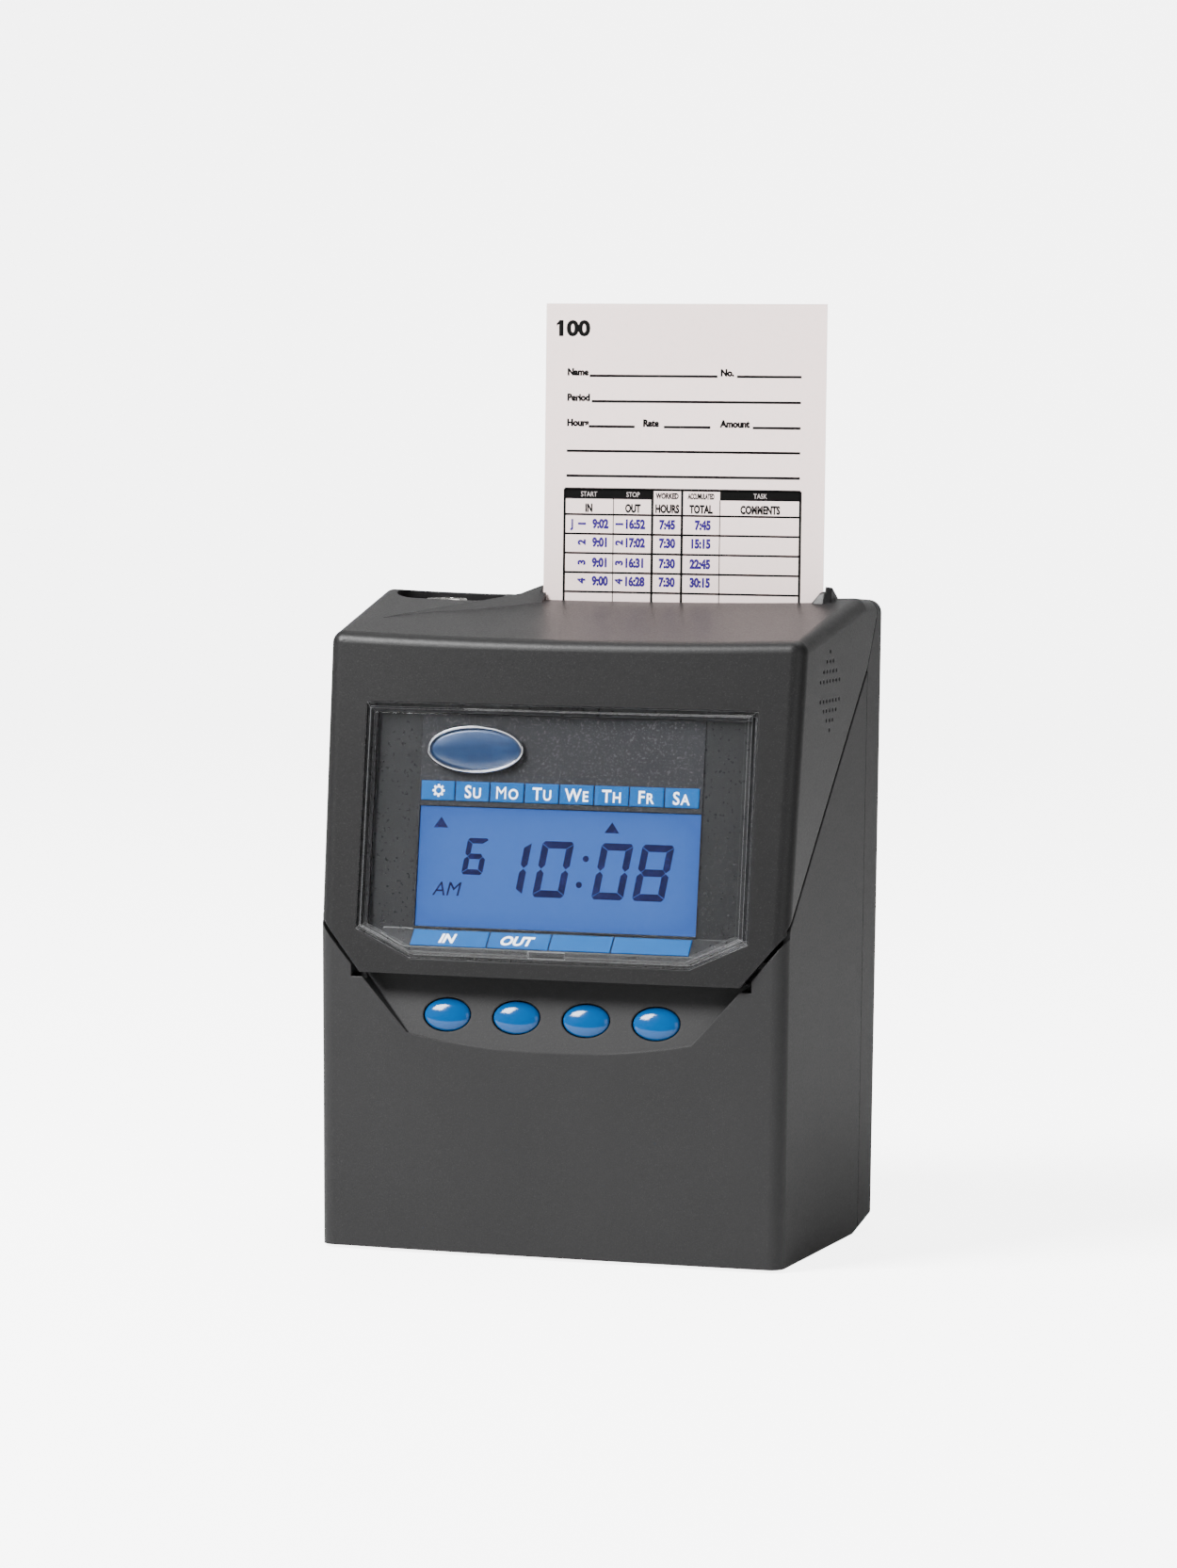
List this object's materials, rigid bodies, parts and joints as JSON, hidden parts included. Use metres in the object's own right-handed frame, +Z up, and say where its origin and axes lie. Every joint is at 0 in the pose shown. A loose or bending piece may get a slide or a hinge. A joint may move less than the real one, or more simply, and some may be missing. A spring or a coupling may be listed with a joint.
{
  "type": "punch time clock",
  "caption": "Desk or wall time clock: a card slides into a slot in the sloping top, a motor feeds it and a moving head prints the time; lit display and oval buttons in front.",
  "frame": {"origin": "on the resting surface, under the middle of the machine's outline seen from above", "axes": "+Z up, the display faces -Y, +X to the viewer's right"},
  "size_m": [0.18, 0.108, 0.3249],
  "materials": {
    "housing": "fine grained charcoal moulding",
    "rubber": "matt black rubber",
    "steel": "zinc plated sheet and bright bar",
    "window": "clear polished moulding",
    "bezel": "black, lightly polished",
    "label": "dark speckled printed sheet",
    "strip": "printed light blue cells",
    "badge_metal": "bright rim",
    "badge_field": "bare blue enamel",
    "lcd": "lit blue liquid crystal pane",
    "backlight": "white light guide",
    "board": "green solder mask",
    "components": "black component bodies",
    "sounder": "brass disc in a ring",
    "lock_metal": "nickel plated",
    "motor": "pressed steel can",
    "nylon": "natural nylon",
    "mechanism_plastic": "black moulding",
    "head": "dark cast aluminium",
    "ribbon": "inked fabric",
    "battery": "green shrink sleeve",
    "card": "uncoated card stock, printed form",
    "button": "polished light blue"
  },
  "bodies": {
    "case": {"lower_case": "housing", "rear_housing": "housing", "card_throat": "housing", "rubber_feet": "rubber", "case_screws": "steel", "button_board": "board", "tact_switches": "components", "chute_front": "mechanism_plastic", "chute_rear": "mechanism_plastic", "platen": "rubber", "card_stop": "mechanism_plastic", "left_side_plate": "steel", "right_side_plate": "steel", "deck": "steel", "feed_motor": "motor", "carriage_shaft": "steel", "guide_rail": "steel", "ribbon_cartridge": "mechanism_plastic", "ribbon": "ribbon", "drive_belt": "rubber", "carriage_motor": "motor", "motor_bracket": "steel", "main_board": "board", "board_components": "components", "backup_battery": "battery", "power_jack": "components"},
    "cover": {"front_cover": "housing", "hinge_pins": "steel", "display_window": "window", "display_bezel": "bezel", "bezel_screws": "steel", "face_label": "label", "day_strip": "strip", "function_strip": "strip", "badge_rim": "badge_metal", "badge_face": "badge_field", "lcd_glass": "lcd", "lcd_backlight": "backlight", "lcd_board": "board", "sounder": "sounder", "lock_barrel": "lock_metal", "lock_nut": "lock_metal"},
    "lock": {"lock_plug": "lock_metal", "lock_cam": "lock_metal"},
    "card": {"time_card": "card"},
    "feed_roller": {"feed_shaft": "steel", "feed_rolls": "rubber", "feed_gear": "nylon"},
    "pinch_roller": {"pinch_shaft": "steel", "pinch_rolls": "rubber"},
    "feed_pinion": {"feed_pinion": "nylon"},
    "carriage": {"print_carriage": "mechanism_plastic", "print_head": "head"},
    "motor_pulley": {"motor_pulley": "nylon"},
    "idler_pulley": {"idler_pulley": "nylon"},
    "ribbon_knob": {"ribbon_knob": "nylon"},
    "button_1": {"button_1": "button"},
    "button_2": {"button_2": "button"},
    "button_3": {"button_3": "button"},
    "button_4": {"button_4": "button"}
  },
  "joints": [
    {"name": "cover_tilt", "type": "hinge", "parent": "case", "child": "cover", "pos_m": [0, -0.04784, 0.098], "axis": [1, 0, 0], "range_deg": [0, 28]},
    {"name": "lock_turn", "type": "hinge", "parent": "cover", "child": "lock", "pos_m": [-0.064, 0.03005, 0.2181], "axis": [0, 0, 1], "range_deg": [0, 90]},
    {"name": "card_slide", "type": "slide", "parent": "case", "child": "card", "axis": [0, 0.0192, 0.9998], "range_m": [0, 0.11]},
    {"name": "feed_roller_turn", "type": "hinge", "parent": "case", "child": "feed_roller", "pos_m": [0, 0.01621, 0.15117], "axis": [1, 0, 0], "range_deg": [-5, 793]},
    {"name": "pinch_roller_turn", "type": "hinge", "parent": "case", "child": "pinch_roller", "pos_m": [0, 0.02991, 0.15091], "axis": [1, 0, 0], "range_deg": [-1266, 5]},
    {"name": "feed_pinion_turn", "type": "hinge", "parent": "case", "child": "feed_pinion", "pos_m": [-0.044, -0.00069, 0.1515], "axis": [1, 0, 0], "range_deg": [-2527, 5]},
    {"name": "carriage_slide", "type": "slide", "parent": "case", "child": "carriage", "axis": [1, 0, 0], "range_m": [0, 0.076]},
    {"name": "motor_pulley_turn", "type": "hinge", "parent": "case", "child": "motor_pulley", "pos_m": [0.062, -0.01109, 0.1697], "axis": [0, 0, 1], "range_deg": [-843, 5]},
    {"name": "idler_pulley_turn", "type": "hinge", "parent": "case", "child": "idler_pulley", "pos_m": [-0.035, -0.01109, 0.1697], "axis": [0, 0, 1], "range_deg": [-843, 5]},
    {"name": "ribbon_knob_turn", "type": "hinge", "parent": "case", "child": "ribbon_knob", "pos_m": [0.058, 0.00195, 0.20946], "axis": [0, 0, 1], "continuous": true},
    {"name": "button_1_press", "type": "slide", "parent": "case", "child": "button_1", "axis": [0, 0.9537, -0.3007], "range_m": [0, 0.0015], "stiffness_N_per_m": 300, "springref_m": -0.0005},
    {"name": "button_2_press", "type": "slide", "parent": "case", "child": "button_2", "axis": [0, 0.9537, -0.3007], "range_m": [0, 0.0015], "stiffness_N_per_m": 300, "springref_m": -0.0005},
    {"name": "button_3_press", "type": "slide", "parent": "case", "child": "button_3", "axis": [0, 0.9537, -0.3007], "range_m": [0, 0.0015], "stiffness_N_per_m": 300, "springref_m": -0.0005},
    {"name": "button_4_press", "type": "slide", "parent": "case", "child": "button_4", "axis": [0, 0.9537, -0.3007], "range_m": [0, 0.0015], "stiffness_N_per_m": 300, "springref_m": -0.0005}
  ],
  "couplings": [
    {"joint": "feed_roller_turn", "follows": "card_slide", "rad_per_m": 125},
    {"joint": "pinch_roller_turn", "follows": "card_slide", "rad_per_m": -200},
    {"joint": "feed_pinion_turn", "follows": "card_slide", "rad_per_m": -400},
    {"joint": "motor_pulley_turn", "follows": "carriage_slide", "rad_per_m": -192.31},
    {"joint": "idler_pulley_turn", "follows": "carriage_slide", "rad_per_m": -192.31}
  ]
}
